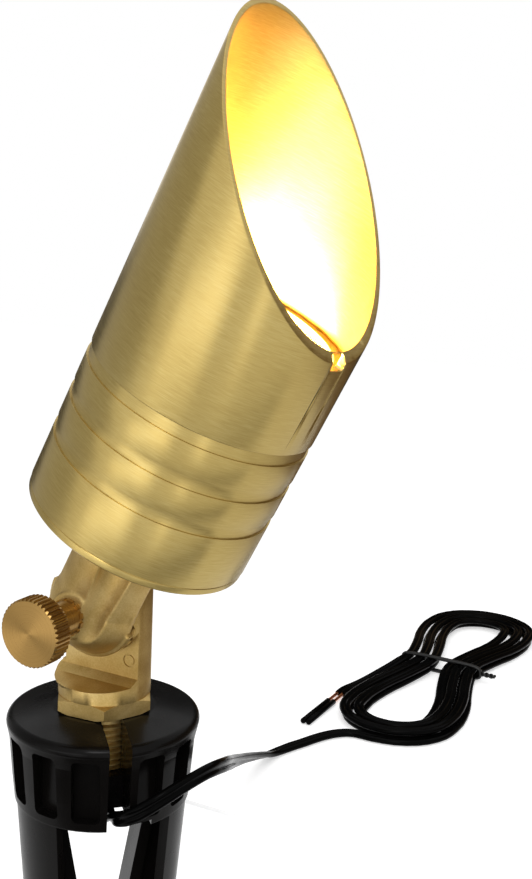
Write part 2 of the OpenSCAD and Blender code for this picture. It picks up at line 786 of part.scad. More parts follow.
module lamp_housing() {
    g1 = housing_l - 2 * groove_pitch;
    g2 = housing_l - groove_pitch;
    seal_z = collar_top + 2.4;
    color("#c3a55c")
        in_head()
            difference() {
                rotate_extrude()
                    polygon(concat(
                        [[0, 0], [head_r - 0.7, 0], [head_r - 0.2, 0.5], [head_r - 0.2, 2], [head_r - 0.45, 2.2],
                         [head_r, 2.5]],
                        [for (g = [g1, g2])
                            each [[head_r, g], [head_r - groove_depth, g],
                                  [head_r - groove_depth, g + groove_w], [head_r, g + groove_w]]],
                        [[head_r, housing_l], [head_r - groove_depth, housing_l],
                         [head_r - groove_depth, collar_top - face_gap], [spigot_r, collar_top - face_gap],
                         [spigot_r, seal_z - 1.1], [spigot_r - 1.6, seal_z - 1.1],
                         [spigot_r - 1.6, seal_z + 1.1], [spigot_r, seal_z + 1.1],
                         [spigot_r, spigot_top], [0, spigot_top]]));
                translate([0, 0, floor_t])
                    cylinder(r = bore_r, h = housing_l - floor_t - 6);
                translate([0, 0, housing_l - 6 - eps])
                    cylinder(r1 = bore_r, r2 = spigot_in, h = 4);
                translate([0, 0, floor_t])
                    cylinder(r = spigot_in, h = spigot_top);
                translate([0, 0, -eps])
                    cylinder(r = bolt_r + 0.1, h = floor_t + 1);
                for (s = [-1, 1])
                    translate([s * (bridge_half + 4), 0, floor_t - 2.2])
                        cylinder(r = 1.55, h = 3);
            }
}

module housing_o_ring() {
    color("#202020")
        in_head()
            translate([0, 0, collar_top + 2.4])
                rotate_extrude()
                    translate([spigot_r - 0.76, 0])
                        circle(r = 0.74, $fn = 32);
}

module holder_bridge() {
    color("#9a9a98")
        in_head()
            difference() {
                union() {
                    translate([-bridge_half, -bridge_w / 2, holder_low - bridge_t])
                        cube([2 * bridge_half, bridge_w, bridge_t]);
                    for (s = [-1, 1]) {
                        translate([s * (bridge_half - bridge_t / 2), 0, (floor_t + holder_low) / 2])
                            cube([bridge_t, bridge_w, holder_low - floor_t], center = true);
                        translate([s * (bridge_half + bridge_foot / 2 - 1), 0, floor_t + bridge_t / 2])
                            cube([bridge_foot, bridge_w, bridge_t], center = true);
                    }
                }
                for (s = [-1, 1])
                    translate([s * (bridge_half + 4), 0, 0])
                        cylinder(r = 1.7, h = floor_t + 3);
                translate([0, wire_y, floor_t])
                    cylinder(r = 2.6, h = holder_low);
            }
}

module holder_screws() {
    color("#8d8d8a")
        in_head()
            for (s = [-1, 1])
                translate([s * (bridge_half + 4), 0, floor_t + bridge_t])
                    difference() {
                        union() {
                            cylinder(r1 = 2.9, r2 = 2.2, h = 1.8);
                            translate([0, 0, -bridge_t - 2])
                                cylinder(r = 1.5, h = bridge_t + 2 + eps);
                        }
                        translate([-3, -0.35, 1])
                            cube([6, 0.7, 2]);
                    }
}

module lamp_holder() {
    color("#e8e4da")
        in_head()
            difference() {
                translate([-holder_w / 2, -holder_d / 2, holder_low])
                    cube([holder_w, holder_d, holder_h]);
                for (s = [-1, 1]) {
                    translate([s * pin_gap / 2, 0, holder_top - pin_l - 1])
                        cylinder(r = 1.5, h = holder_h);
                    translate([s * (holder_w / 2 - 2), 0, holder_low - 1])
                        cylinder(r = 1.2, h = holder_h + 2);
                }
            }
}

module holder_contacts() {
    color("#c9a961")
        in_head()
            for (s = [-1, 1])
                translate([s * pin_gap / 2, 0, holder_top - pin_l - 0.5])
                    tube(1.42, 0.85, pin_l - 0.5);
}

// The two wires from the lamp holder down to the knuckle's cavity
module head_leads() {
    color("#3a1414")
        in_arm()
            for (s = [-1, 1])
                translate([s * wire_x, wire_y - head_off, cavity_r - 2])
                    cylinder(r = wire_r, h = head_gap + holder_low - cavity_r + 2);
}

module lamp_pins() {
    color("#d8d8d4")
        in_head()
            for (s = [-1, 1])
                translate([s * pin_gap / 2, 0, lamp_base - pin_l])
                    cylinder(r = 0.75, h = pin_l);
}

module lamp_body() {
    rim = lamp_d / 2;
    color("#d9d9d6")
        in_head()
            difference() {
                rotate_extrude()
                    polygon([[0, lamp_base], [8.4, lamp_base], [8.4, lamp_base + 6], [12, lamp_base + 8],
                             [rim - 5, lamp_front - 12], [rim - 1.5, lamp_front - 5.5], [rim, lamp_front - 5],
                             [rim, lamp_front], [0, lamp_front]]);
                translate([0, 0, lamp_front - 10])
                    cylinder(r1 = 13, r2 = rim - 1.6, h = 7);
                translate([0, 0, lamp_front - 3 - eps])
                    cylinder(r = rim - 1.6, h = 4);
                for (a = [0:20:340])
                    rotate([0, 0, a])
                        translate([13, -1, lamp_base + 3])
                            cube([rim, 2, lamp_l - 12]);
            }
}

module led_board() {
    color("#f6f1d8")
        in_head()
            translate([0, 0, lamp_front - 10]) {
                cylinder(r = 11, h = 1.2);
                cylinder(r = 6, h = 1.9);
            }
}

module lamp_lens() {
    rim = lamp_d / 2;
    color("#f3efe2")
        in_head()
            difference() {
                translate([0, 0, lamp_front - 2.9])
                    cylinder(r = rim - 1.7, h = 2.6);
                for (a = [0:60:300])
                    rotate([0, 0, a])
                        translate([rim * 0.52, 0, lamp_front + 6.2])
                            sphere(r = 8, $fn = 48);
            }
}

module lens_gasket() {
    color("#e2ded2")
        in_head()
            translate([0, 0, gasket_z])
                tube(lens_edge, spigot_in, gasket_t);
}

module cover_glass() {
    color("#dfe9e6")
        in_head()
            translate([0, 0, glass_z])
                cylinder(r = lens_edge, h = glass_t);
}

module lens_ring() {
    color("#c7a55a")
        in_head()
            translate([0, 0, ring_z])
                tube(lens_edge, lens_edge - ring_w, ring_t);
}

module glare_shroud() {
    color("#c3a55c")
        in_head()
            rotate([0, 0, shroud_turn])
                difference() {
                    translate([0, 0, collar_top])
                        cylinder(r = head_r, h = mouth_top - collar_top);
                    translate([0, 0, collar_top - 1])
                        cylinder(r = skirt_in, h = shoulder_z - collar_top + 1);
                    translate([0, 0, collar_top])
                        cylinder(r = shroud_in, h = low_side - collar_top);
                    translate([0, 0, low_side - eps])
                        cylinder(r1 = shroud_in, r2 = head_r - tip_wall, h = mouth_top - low_side + 2 * eps);
                    translate([0, 0, mouth_mid])
                        rotate([0, mouth_angle, 0])
                            translate([-2 * head_d, -head_d, 0])
                                cube([4 * head_d, 2 * head_d, 3 * head_d]);
                    translate([head_r - shroud_wall / 2, 0, low_side])
                        rotate([90, 0, 90])
                            linear_extrude(height = 4 * shroud_wall, center = true)
                                round_rect(notch_w, 2 * notch_depth, 0.9);
                }
}

// The lead

module lead_stretch() {
    color("#0f0f10")
        swept(lead_route, 8, true);
}

module lead_hank() {
    echo(least_gap = hank_gap(6));
    color("#0f0f10")
        swept(hank_path, 6);
}

module lead_tie() {
    left = loop_half(tail_turn) - waist_in + lead_w / 2 + tie_clear;
    right = loop_half(0.25) - waist_in + lead_w / 2 + tie_clear;
    low = ground_z + waist_lift - lead_t / 2 - tie_clear - 0.05;
    high = ground_z + waist_lift + layer_z + lead_t / 2 + tie_clear;
    color("#0c0c0c")
        translate([hank_x + (right - left) / 2, hank_y, (low + high) / 2])
            rotate([90, 0, 0]) {
                linear_extrude(height = tie_w, center = true)
                    difference() {
                        round_rect(left + right + 2 * tie_t, high - low + 2 * tie_t, 2);
                        round_rect(left + right, high - low, 1.2);
                    }
                translate([(left + right) / 2 + tie_t - 0.2, -1, 0])
                    rotate([0, 90, 0])
                        cylinder(r = 1.1, h = 7);
            }
}

module bare_copper() {
    color("#b8643c")
        for (s = [-1, 1])
            translate(tail_tip + [s * copper_gap / 2, 0, 0])
                along_y(copper_r, 0, -bare_l);
}

module lead_slugs() {
    color("#101010")
        for (s = [-1, 1])
            translate(tail_tip + [s * copper_gap / 2, -bare_l, 0])
                along_y(slug_r, 0, -slug_l);
}

ground_stake();
knuckle_base();
cord_grommet();
base_lead();
knuckle_arm();
arm_seal();
arm_lock_nut();
lock_washer();
thumb_screw();
lamp_housing();
housing_o_ring();
holder_bridge();
holder_screws();
lamp_holder();
holder_contacts();
head_leads();
lamp_pins();
lamp_body();
led_board();
lamp_lens();
lens_gasket();
cover_glass();
lens_ring();
glare_shroud();
lead_stretch();
lead_hank();
lead_tie();
bare_copper();
lead_slugs();
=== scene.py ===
# %% [markdown]
# # A garden spotlight in turned brass
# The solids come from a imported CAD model: a slant-cut lamp head, a toothed knuckle with a thumb screw,
# a threaded base in a black stake, and a flat twin lead wound in a hank. This script gives them their
# looks. It never moves a solid: it softens edges, adds what is too fine for CAD, and paints everything.

# %% Load the solids
import json
import math

import bmesh
import bpy
from mathutils import Matrix, Vector


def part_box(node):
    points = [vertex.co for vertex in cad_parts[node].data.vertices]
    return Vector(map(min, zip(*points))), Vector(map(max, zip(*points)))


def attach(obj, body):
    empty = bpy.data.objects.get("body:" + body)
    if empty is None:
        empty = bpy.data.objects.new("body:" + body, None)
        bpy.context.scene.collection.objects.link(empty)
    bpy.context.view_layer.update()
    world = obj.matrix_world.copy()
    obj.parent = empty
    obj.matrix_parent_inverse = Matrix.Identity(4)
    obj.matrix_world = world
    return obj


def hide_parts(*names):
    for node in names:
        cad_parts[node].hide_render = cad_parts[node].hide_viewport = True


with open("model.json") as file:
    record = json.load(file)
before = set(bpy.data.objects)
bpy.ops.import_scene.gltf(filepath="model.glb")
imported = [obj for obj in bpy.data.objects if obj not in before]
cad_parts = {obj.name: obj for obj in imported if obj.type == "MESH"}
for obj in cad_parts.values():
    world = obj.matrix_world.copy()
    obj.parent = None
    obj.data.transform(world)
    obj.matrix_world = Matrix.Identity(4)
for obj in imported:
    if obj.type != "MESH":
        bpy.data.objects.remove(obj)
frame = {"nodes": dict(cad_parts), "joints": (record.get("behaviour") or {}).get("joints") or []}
NODE = frame["nodes"]
JOINT = {joint["name"]: joint for joint in frame["joints"]}
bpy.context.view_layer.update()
MM = 0.001
print("solids:", len(NODE))

# %% [markdown]
# ## Camera
# The photograph was taken from the front right, a little above the knuckle, with a lens of normal
# angle and the camera turned by under three degrees. The place and the aim below come from matching
# the grooves, the shroud's mouth, the knob and the cap. The roll is part of the match: without it the
# stake would lean the wrong way in the frame.

# %% Camera
CAMERA_AT = Vector((178.0, -255.0, 184.8)) * MM
CAMERA_AIM = Vector((-0.4478, 0.8768, -0.1749)).normalized()
CAMERA_ROLL = math.radians(2.6)
FOCAL_PX = 1148.4
FRAME_H_PX = 879
SENSOR_H = 24.0

level_right = CAMERA_AIM.cross(Vector((0, 0, 1))).normalized()
level_up = level_right.cross(CAMERA_AIM)
right = level_right * math.cos(CAMERA_ROLL) + level_up * math.sin(CAMERA_ROLL)
up = level_up * math.cos(CAMERA_ROLL) - level_right * math.sin(CAMERA_ROLL)
facing = Matrix((right, up, -CAMERA_AIM)).transposed().to_4x4()


def new_object(name, data):
    """An object in the scene that shows a mesh, a curve, a lamp or a camera."""
    obj = bpy.data.objects.new(name, data)
    bpy.context.scene.collection.objects.link(obj)
    return obj


camera = new_object("camera", bpy.data.cameras.new("camera"))
camera.matrix_world = Matrix.Translation(CAMERA_AT) @ facing
camera.data.sensor_fit = "VERTICAL"
camera.data.sensor_height = SENSOR_H
camera.data.lens = FOCAL_PX / FRAME_H_PX * SENSOR_H
camera.data.clip_start = 0.01
bpy.context.scene.camera = camera
bpy.context.scene.view_settings.view_transform = "Standard"
print(f"lens {camera.data.lens:.1f} mm")

# %% [markdown]
# ## Two small helpers for materials
# Colours are written as the eye reads them off a screen, and one function turns them into the linear
# numbers that a shader wants. The other adds a node with its settings, links and values in one call.

# %% Material helpers
def linear(code, alpha=1.0):
    """An sRGB hex colour as linear red, green, blue and alpha."""
    channels = [int(code[i:i + 2], 16) / 255 for i in (1, 3, 5)]
    return [c / 12.92 if c <= 0.04045 else ((c + 0.055) / 1.055) ** 2.4 for c in channels] + [alpha]


def add(tree, kind, inputs=None, **settings):
    """Adds a node. A socket given for an input is linked, and anything else is its value."""
    node = tree.nodes.new("ShaderNode" + kind)
    for name, value in settings.items():
        setattr(node, name, value)
    for socket, value in (inputs or {}).items():
        if isinstance(value, bpy.types.NodeSocket):
            tree.links.new(value, node.inputs[socket])
        else:
            node.inputs[socket].default_value = value
    return node


def start_material(name):
    """A material with an empty node tree and an output waiting for its shader."""
    material = bpy.data.materials.new(name)
    material.use_nodes = True
    tree = material.node_tree
    tree.nodes.clear()
    return material, tree


def close_material(tree, shader):
    """Links a finished shader to the material's output."""
    add(tree, "OutputMaterial", {"Surface": shader.outputs[0]})


# %% [markdown]
# ## Where the head is
# The head leans with the tilt joint, so everything on it is built and painted in its own frame: Z runs
# up the head's axis from its underside. The joint gives the lean, and the housing gives the underside.

# %% The head's frame
TILT_AT = Vector(JOINT["head_tilt"]["pos_m"])
HEAD_AXIS = Vector(JOINT["shroud_turn"]["axis"]).normalized()
HEAD_LEAN = math.atan2(HEAD_AXIS.x, HEAD_AXIS.z)


def reach(node, start=TILT_AT, axis=HEAD_AXIS):
    """The lowest and highest place of a solid along an axis."""
    along = [(v.co - start).dot(axis) for v in NODE[node].data.vertices]
    return min(along), max(along)


head_low = reach("lamp_housing")[0]
HEAD = Matrix.Translation(TILT_AT + HEAD_AXIS * head_low) @ Matrix.Rotation(HEAD_LEAN, 4, "Y")
print(f"lean {math.degrees(HEAD_LEAN):.1f} deg, underside {head_low / MM:.1f} mm from the tilt axis")

# %% [markdown]
# ## The flat twin lead
# It is one unbroken length of flat two-core vinyl lead: down out of the nipple, out through the slot
# in the skirt, round it and down to the ground, then nearly five loops of a drawn-in hank and a tail.
# A curve with a section of two touching circles would do it, and so would a swept mesh. The curve is
# used, because its tilt keeps the flat side down and its handles make every bend smooth. It is then
# made a mesh, so that its section travels with it.

# %% The lead's route
LEAD_W = 4.4
LEAD_T = 2.2
ROUTE = [
    (0, 1.2, 33.15), (0, 1.1, 32), (0.4, 0.3, 28.9), (1.6, -1.2, 26), (3.3, -3.2, 24),
    (5.4, -5.4, 22.9), (7.6, -7.5, 22.8), (9.6, -9.6, 23.6), (11.4, -11.6, 24.9),
    (13.3, -13.6, 26.4), (15.7, -15.4, 27.9), (18.6, -16.3, 29.3), (21.6, -16.1, 31),
    (24.4, -14.8, 33), (27, -12.6, 35), (29.1, -9.8, 36.6), (30.9, -6.6, 38), (32.5, -2.9, 39),
    (33.4, 0.9, 39.3), (33.6, 4.9, 38.8), (33, 9.4, 37.5), (31.8, 14.3, 35.7), (29.7, 20, 33.2),
    (27, 26.6, 30), (23.8, 34, 26.4), (20.4, 42, 22.5), (17.3, 50.4, 18.6), (14.6, 59, 14.9),
    (12.3, 67.5, 11.3), (10.5, 75.8, 7.9), (9.3, 83.5, 4.9), (8.7, 90.4, 2.3), (9.4, 96.6, 1.3),
    (11.4, 102.2, 1.3), (13.8, 107.8, 1.3), (16, 113.4, 1.3), (18.6, 118.6, 1.3),
    (21.8, 122.8, 1.3), (25.6, 125.4, 1.3), (29.5, 126, 1.3)]
# The lead turns on edge from one point of the route and is flat again at the other, over a few points.
TWIST_ON, TWIST_OFF = 6.5, 32.5
TWIST_ON_OVER, TWIST_OFF_OVER = 4, 9

# %% [markdown]
# ## The hank
# The rest of the lead is wound up and tied. A loop of the hank is two straight runs and two round
# folds. The runs are drawn in at the waist, where the tie holds them, and are pressed upwards there.
# The loops get smaller inwards on the first layer, climb, and get larger again on the second. All
# sizes are in millimetres, and turns are counted from the lead's first point in the hank.

# %% The hank's sizes
HANK_X = 34
HANK_Y = 206
HANK_RUN = 112
HANK_FOLD = 24
HANK_STEP = 5.4
WAIST_IN = 9
WAIST_LIFT = 1.15
GROUND_Z = 1.3
LAYER_Z = 2.8
CLIMB_FROM, CLIMB_TO = 2.125, 2.375
TURN_BACK = 2.625
LOOPS_END = 4.6
TAIL_TURN = 4.75
TAIL_END = 48
TAIL_OUT = 27.5
TAIL_LAST = TAIL_END - LEAD_W
TAIL_DROPS_FROM, TAIL_DROPS_OVER = 8, 24
TAIL_POINTS = 6
QUARTER_POINTS = 3
RUN_POINTS = 6
RIGHT_RUN = QUARTER_POINTS
FAR_FOLD = RIGHT_RUN + RUN_POINTS
LEFT_RUN = FAR_FOLD + 2 * QUARTER_POINTS
LAST_FOLD = LEFT_RUN + RUN_POINTS
LOOP_POINTS = LAST_FOLD + QUARTER_POINTS


# %% Shaping the hank
def clamp(x):
    """A number held between 0 and 1."""
    return max(0.0, min(1.0, x))


def edge_on(i):
    """Turn of the lead at point i of the route: on edge round the skirt, and flat again on the soil."""
    turned_on = clamp((i - TWIST_ON) / TWIST_ON_OVER)
    still_on = clamp((TWIST_OFF - i) / TWIST_OFF_OVER)
    return math.radians(-90) * turned_on * still_on


def drawn(h):
    """How strongly the runs are drawn in: 0 at the folds and 1 at the waist."""
    return (0.5 + 0.5 * math.cos(math.pi * max(-1, min(1, 2 * h / HANK_RUN)))) ** 1.5


def loop_half(t):
    """Half width of the loop at turn t: inwards on the first layer and outwards on the second."""
    k = clamp((t - CLIMB_TO) / (TURN_BACK - CLIMB_TO))
    return (1 - k) * (HANK_FOLD - HANK_STEP * t) + k * (HANK_FOLD - HANK_STEP * (LOOPS_END - t))


def loop_z(t, h):
    """Height of the lead at turn t: a layer up after the climb, and lifted at the pressed waist."""
    climb = clamp((t - CLIMB_FROM) / (CLIMB_TO - CLIMB_FROM))
    return GROUND_Z + WAIST_LIFT * drawn(h) + LAYER_Z * climb


def hank_point(i):
    """Point i of the hank: quarter fold, right run, far fold, left run, quarter fold."""
    t = i / LOOP_POINTS
    k = i % LOOP_POINTS
    b, run = loop_half(t), HANK_RUN / 2
    turn = math.radians(90 / QUARTER_POINTS)
    if k < RIGHT_RUN:
        a = turn * k
        w, h = b * math.sin(a), -run - b * math.cos(a)
    elif k < FAR_FOLD:
        h = -run + (k - RIGHT_RUN) / RUN_POINTS * HANK_RUN
        w = b - WAIST_IN * drawn(h)
    elif k < LEFT_RUN:
        a = turn * (k - FAR_FOLD)
        w, h = b * math.cos(a), run + b * math.sin(a)
    elif k < LAST_FOLD:
        h = run - (k - LEFT_RUN) / RUN_POINTS * HANK_RUN
        w = -b + WAIST_IN * drawn(h)
    else:
        a = turn * (k - LAST_FOLD)
        w, h = -b * math.cos(a), -run - b * math.sin(a)
    return (HANK_X + w, HANK_Y + h, loop_z(t, h))


def tail_point(h):
    """The free tail leaves the last loop at the waist and runs out beside the near fold."""
    g = clamp((h - TAIL_DROPS_FROM) / TAIL_DROPS_OVER)
    start = loop_half(TAIL_TURN)
    b = start + (TAIL_OUT - start) * clamp(h / TAIL_LAST)
    w = TAIL_OUT if h > TAIL_LAST - 1 else b - WAIST_IN * drawn(h)
    drop = (LAYER_Z + WAIST_LIFT * drawn(h) * g) * g
    return (HANK_X - w, HANK_Y - h, loop_z(TAIL_TURN, h) - drop)


hank = [hank_point(i) for i in range(int(TAIL_TURN * LOOP_POINTS) + 1)]
tail = [tail_point(i * TAIL_LAST / TAIL_POINTS) for i in range(1, TAIL_POINTS + 1)]
tail.append(tail_point(TAIL_END))
route = [Vector(p) * MM for p in ROUTE + hank + tail]
print("lead points:", len(route))

# %% [markdown]
# ## The lead's section
# The section is drawn once as a small closed curve: two circles of insulation that touch, with the
# groove between them that a thumbnail splits. Two lobes of fourteen points each are enough, because
# the lead is only a few pixels thick in the view.

# %% The lead's section and sweep
def lead_section(points=14):
    """Half-width and half-height pairs round the two lobes of the flat lead."""
    radius = LEAD_T / 2
    centre = LEAD_W / 2 - radius
    meet = math.radians(38)
    right_lobe = []
    for i in range(points):
        a = -math.pi + meet + (2 * math.pi - 2 * meet) * i / (points - 1)
        right_lobe.append((centre + radius * math.cos(a), radius * math.sin(a)))
    return right_lobe + [(-x, -y) for x, y in right_lobe]


def curve_object(name, points, cyclic=False, smooth=True, resolution=3):
    """A curve through the points, with automatic handles where it is smooth."""
    curve = bpy.data.curves.new(name, "CURVE")
    curve.dimensions = "3D"
    curve.resolution_u = resolution
    spline = curve.splines.new("BEZIER" if smooth else "POLY")
    if smooth:
        spline.bezier_points.add(len(points) - 1)
        for knot, point in zip(spline.bezier_points, points):
            knot.co = point
            knot.handle_left_type = knot.handle_right_type = "AUTO"
    else:
        spline.points.add(len(points) - 1)
        for knot, point in zip(spline.points, points):
            knot.co = (*point, 1)
    spline.use_cyclic_u = cyclic
    return new_object(name, curve)


def to_mesh(obj, name):
    """A mesh object made from what a curve shows. The curve is removed."""
    bpy.context.view_layer.update()
    shown = obj.evaluated_get(bpy.context.evaluated_depsgraph_get())
    mesh = bpy.data.meshes.new_from_object(shown)
    mesh.name = name
    result = new_object(name, mesh)
    bpy.data.objects.remove(obj)
    return result


def smooth_all(obj, angle=40):
    """Smooth shading with creases where faces meet at more than the angle."""
    for polygon in obj.data.polygons:
        polygon.use_smooth = True
    obj.data.set_sharp_from_angle(angle=math.radians(angle))


outline = [Vector((x, y, 0)) * MM for x, y in lead_section()]
section = curve_object("lead_section", outline, cyclic=True, smooth=False)
line = curve_object("lead_line", route)
line.data.twist_mode = "Z_UP"
for i in range(len(ROUTE)):
    line.data.splines[0].bezier_points[i].tilt = edge_on(i)
line.data.bevel_mode = "OBJECT"
line.data.bevel_object = section
line.data.use_fill_caps = True
flat_lead = to_mesh(line, "flat_lead")
bpy.data.objects.remove(section)
smooth_all(flat_lead, 60)
print("lead faces:", len(flat_lead.data.polygons))


# %% [markdown]
# ## The stripped ends
# The two cores are stripped for a splice: the last piece of insulation on each was cut, slid along and
# left on, so a short length of bare strands shows before it. Each core is fine copper strands with a
# slow twist, made here as six small round curves on a helix round a straight seventh.

# %% Bare strands and insulation slugs
TIP = Vector(tail_point(TAIL_END)) * MM
CORE_APART = 2.3 * MM
CORE_R = LEAD_T / 2 * MM
BARE = 9 * MM
SLUG = 24 * MM
SLUG_EDGE = 0.25 * MM
STRAND_R = 0.21 * MM
STRANDS_OUT = 0.42 * MM
STRAND_STEPS = 12
STRAND_INTO = 0.4 * MM
TWIST_STEP = 14 * MM


def strand(name, x, turn, radius):
    """One copper strand on a helix about a core's axis, from the insulation's end towards the slug."""
    points = []
    for i in range(STRAND_STEPS + 1):
        y = TIP.y + STRAND_INTO - (BARE + 2 * STRAND_INTO) * i / STRAND_STEPS
        a = turn + 2 * math.pi * (BARE * i / STRAND_STEPS) / TWIST_STEP
        points.append(Vector((x + radius * math.cos(a), y, TIP.z + radius * math.sin(a))))
    obj = curve_object(name, points)
    obj.data.bevel_depth = STRAND_R
    obj.data.bevel_resolution = 2
    return to_mesh(obj, name)


def from_bmesh(bm, name):
    """A mesh object made from a bmesh, which is then freed."""
    mesh = bpy.data.meshes.new(name)
    bm.to_mesh(mesh)
    bm.free()
    return new_object(name, mesh)


def join(objects, name):
    """One mesh object from several."""
    bm = bmesh.new()
    for obj in objects:
        bm.from_mesh(obj.data)
        bpy.data.objects.remove(obj)
    return from_bmesh(bm, name)


strands = []
for side in (-1, 1):
    centre = TIP.x + side * CORE_APART / 2
    strands.append(strand("strand", centre, 0, 0.0))
    strands += [strand("strand", centre, math.radians(60 * i), STRANDS_OUT) for i in range(6)]
copper = join(strands, "copper_strands")
smooth_all(copper)

slugs = bmesh.new()
along_lead = Matrix.Rotation(math.pi / 2, 4, "X")
for side in (-1, 1):
    middle = Vector((TIP.x + side * CORE_APART / 2, TIP.y - BARE - SLUG / 2, TIP.z))
    bmesh.ops.create_cone(slugs, cap_ends=True, segments=24, radius1=CORE_R, radius2=CORE_R,
                          depth=SLUG, matrix=Matrix.Translation(middle) @ along_lead)
ends = [edge for edge in slugs.edges if any(len(face.verts) > 4 for face in edge.link_faces)]
bmesh.ops.bevel(slugs, geom=ends, offset=SLUG_EDGE, segments=2, profile=0.5, affect="EDGES",
                material=-1)
insulation_slugs = from_bmesh(slugs, "insulation_slugs")
smooth_all(insulation_slugs)
print("strands:", len(copper.data.polygons), "faces")

# %% [markdown]
# ## The twist tie
# A short plastic-covered wire goes twice round the waist of the hank, and its ends are twisted together
# at the side. It is a curve in a flat oval, a little wider than the bundle, with two tails that wind
# round each other.

# %% The twist tie
TIE_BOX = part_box("lead_tie")
TIE_R = 0.75 * MM
TIE_TURNS = 2
TIE_STEPS = 48
# The oval's bow: 1 is an ellipse, and less is squarer.
TIE_BOW = 0.45
TWIST_LONG = 7.0 * MM
# The twist stops a little short, so that its round ends stay inside the solid's box.
TWIST_SHARE = 0.93
TWIST_TURNS = 1.6
TWIST_STEPS = 16
TWIST_R = 0.55 * MM


def tie_points():
    """Twice round the bundle, and the place where the twisted tails start."""
    low, high = TIE_BOX
    left, right_end = low.x + TIE_R, high.x - TWIST_LONG
    mid_z, half_z = (low.z + high.z) / 2, (high.z - low.z) / 2 - TIE_R
    mid_x, half_x = (left + right_end) / 2, (right_end - left) / 2
    y = (low.y + high.y) / 2
    points = []
    for i in range(TIE_STEPS + 1):
        a = math.radians(360 * TIE_TURNS * i / TIE_STEPS)
        across, upward = math.cos(a), math.sin(a)
        x = mid_x + half_x * math.copysign(abs(across) ** TIE_BOW, across)
        z = mid_z + half_z * math.copysign(abs(upward) ** TIE_BOW, upward)
        points.append(Vector((x, y - TIE_R + 2 * TIE_R * i / TIE_STEPS, z)))
    return points, Vector((right_end, y, mid_z))


loop_line, twist_from = tie_points()
tie = curve_object("twist_tie", loop_line, resolution=2)
tie.data.bevel_depth = TIE_R
tie.data.bevel_resolution = 3
parts = [to_mesh(tie, "tie_loop")]
for start in (0, math.pi):
    helix = []
    for i in range(TWIST_STEPS + 1):
        a = start + 2 * math.pi * TWIST_TURNS * i / TWIST_STEPS
        x = TWIST_LONG * TWIST_SHARE * i / TWIST_STEPS
        helix.append(twist_from + Vector((x, TWIST_R * math.cos(a), TWIST_R * math.sin(a))))
    tail_curve = curve_object("tie_tail", helix)
    tail_curve.data.bevel_depth = TWIST_R
    tail_curve.data.bevel_resolution = 3
    tail_curve.data.use_fill_caps = True
    parts.append(to_mesh(tail_curve, "tie_tail"))
twist_tie = join(parts, "twist_tie")
smooth_all(twist_tie)

# %% [markdown]
# ## Turned brass
# The housing, the shroud and their ring are free-cutting brass, turned on a lathe and left with the
# fine circles of the last cut, under a clear coat. Two things give that away: streaks that run round
# the axis, and highlights that stretch across them. The streaks are a noise pressed flat along the
# axis. The stretched highlight is the shader's anisotropy: its tangent is computed round the axis, and
# a quarter turn of its rotation lays the highlight across the tool marks, which gives bright bands
# along the barrel and a bright cross on a faced end. An image texture would need unwrapped cylinders.

# %% Turned brass
# The bore is as cut, with no clear coat: its marks are shallow, and it throws the light about evenly.
BUMP_OUTSIDE, BUMP_BORE = 0.34, 0.04
METAL_BORE = 0.82
ROUGH_SWING = 0.04


def around(tree, place, axis):
    """Object coordinates in a turned piece's own frame, and the world direction round its axis."""
    coords = add(tree, "TexCoord")
    turn = Vector((0, 0, 1)).rotation_difference(axis).inverted().to_euler()
    centred = add(tree, "VectorMath", {0: coords.outputs["Object"], 1: place},
                  operation="SUBTRACT")
    local = add(tree, "Mapping", {"Vector": centred.outputs[0], "Rotation": turn})
    cross = add(tree, "VectorMath", {0: axis, 1: centred.outputs[0]}, operation="CROSS_PRODUCT")
    world = add(tree, "VectorTransform", {"Vector": cross.outputs[0]}, convert_from="OBJECT",
                convert_to="WORLD")
    tangent = add(tree, "VectorMath", {0: world.outputs[0]}, operation="NORMALIZE")
    return local.outputs[0], tangent.outputs[0]


